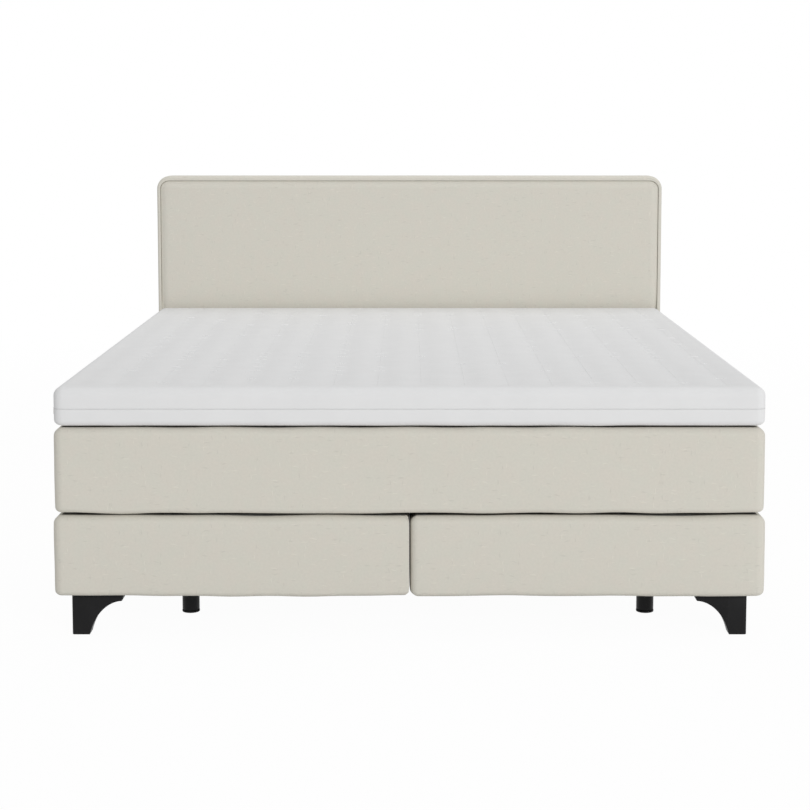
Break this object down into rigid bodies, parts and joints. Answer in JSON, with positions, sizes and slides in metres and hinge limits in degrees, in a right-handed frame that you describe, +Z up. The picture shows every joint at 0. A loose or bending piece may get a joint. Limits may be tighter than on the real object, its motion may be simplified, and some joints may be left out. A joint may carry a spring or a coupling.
{
  "type": "box spring bed",
  "caption": "Upholstered box spring bed: padded boxes on black legs, mattress, quilted topper with a side zip, and a padded headboard with rounded top corners.",
  "frame": {"origin": "on the floor, under the centre of the bed's bounding box", "axes": "+X to the right as seen from the foot end, +Y towards the headboard, +Z up"},
  "size_m": [1.8, 2.1006, 1.1105],
  "materials": {
    "upholstery_fabric": "matte",
    "topper_ticking": "matte",
    "foam": "matte",
    "spring_pockets": "matte",
    "dust_cloth": "matte",
    "timber": "matte",
    "leg_plastic": "satin",
    "glide_plastic": "matte",
    "steel": "satin",
    "zinc_steel": "satin",
    "zip_tape": "matte",
    "zip_slider_finish": "satin"
  },
  "bodies": {
    "bed_base": {"left_box_cover": "upholstery_fabric", "left_box_foam_wrap": "foam", "left_box_spring_core": "spring_pockets", "left_box_outer_rail": "timber", "left_box_inner_rail": "timber", "left_box_foot_rail": "timber", "left_box_head_rail": "timber", "left_box_plank_deck": "timber", "left_box_dust_cover": "dust_cloth", "right_box_cover": "upholstery_fabric", "right_box_foam_wrap": "foam", "right_box_spring_core": "spring_pockets", "right_box_outer_rail": "timber", "right_box_inner_rail": "timber", "right_box_foot_rail": "timber", "right_box_head_rail": "timber", "right_box_plank_deck": "timber", "right_box_dust_cover": "dust_cloth", "front_left_corner_leg": "leg_plastic", "front_right_corner_leg": "leg_plastic", "rear_left_corner_leg": "leg_plastic", "rear_right_corner_leg": "leg_plastic", "front_left_support_leg": "leg_plastic", "front_right_support_leg": "leg_plastic", "middle_left_support_leg": "leg_plastic", "middle_right_support_leg": "leg_plastic", "rear_left_support_leg": "leg_plastic", "rear_right_support_leg": "leg_plastic", "box_coupler": "steel", "left_headboard_bracket": "steel", "right_headboard_bracket": "steel", "left_bracket_box_bolt": "zinc_steel", "right_bracket_box_bolt": "zinc_steel", "left_bracket_headboard_bolt": "zinc_steel", "right_bracket_headboard_bolt": "zinc_steel", "headboard_border_band": "upholstery_fabric", "headboard_front_panel": "upholstery_fabric", "headboard_foam": "foam", "headboard_board": "timber", "headboard_back_cloth": "dust_cloth"},
    "mattress": {"mattress_cover": "upholstery_fabric", "mattress_base_panel": "dust_cloth", "mattress_bottom_pad": "foam", "mattress_top_pad": "foam", "mattress_border_foam": "foam", "mattress_spring_core": "spring_pockets"},
    "topper": {"topper_upper_cover": "topper_ticking", "topper_lower_cover": "topper_ticking", "topper_foam_core": "foam", "topper_zip_tape": "zip_tape"},
    "zip_slider": {"topper_zip_slider": "zip_slider_finish"},
    "front_left_support_glide": {"front_left_support_glide": "glide_plastic"},
    "front_right_support_glide": {"front_right_support_glide": "glide_plastic"},
    "middle_left_support_glide": {"middle_left_support_glide": "glide_plastic"},
    "middle_right_support_glide": {"middle_right_support_glide": "glide_plastic"},
    "rear_left_support_glide": {"rear_left_support_glide": "glide_plastic"},
    "rear_right_support_glide": {"rear_right_support_glide": "glide_plastic"}
  },
  "joints": [
    {"name": "mattress_lift", "type": "slide", "parent": "bed_base", "child": "mattress", "axis": [0, 0, 1], "range_m": [0, 0.25]},
    {"name": "topper_lift", "type": "slide", "parent": "mattress", "child": "topper", "axis": [0, 0, 1], "range_m": [0, 0.25]},
    {"name": "zip_slide", "type": "slide", "parent": "topper", "child": "zip_slider", "axis": [0, 1, 0], "range_m": [0, 1.91]},
    {"name": "front_left_support_glide_screw", "type": "slide", "parent": "bed_base", "child": "front_left_support_glide", "axis": [0, 0, -1], "range_m": [0, 0.015]},
    {"name": "front_right_support_glide_screw", "type": "slide", "parent": "bed_base", "child": "front_right_support_glide", "axis": [0, 0, -1], "range_m": [0, 0.015]},
    {"name": "middle_left_support_glide_screw", "type": "slide", "parent": "bed_base", "child": "middle_left_support_glide", "axis": [0, 0, -1], "range_m": [0, 0.015]},
    {"name": "middle_right_support_glide_screw", "type": "slide", "parent": "bed_base", "child": "middle_right_support_glide", "axis": [0, 0, -1], "range_m": [0, 0.015]},
    {"name": "rear_left_support_glide_screw", "type": "slide", "parent": "bed_base", "child": "rear_left_support_glide", "axis": [0, 0, -1], "range_m": [0, 0.015]},
    {"name": "rear_right_support_glide_screw", "type": "slide", "parent": "bed_base", "child": "rear_right_support_glide", "axis": [0, 0, -1], "range_m": [0, 0.015]}
  ]
}
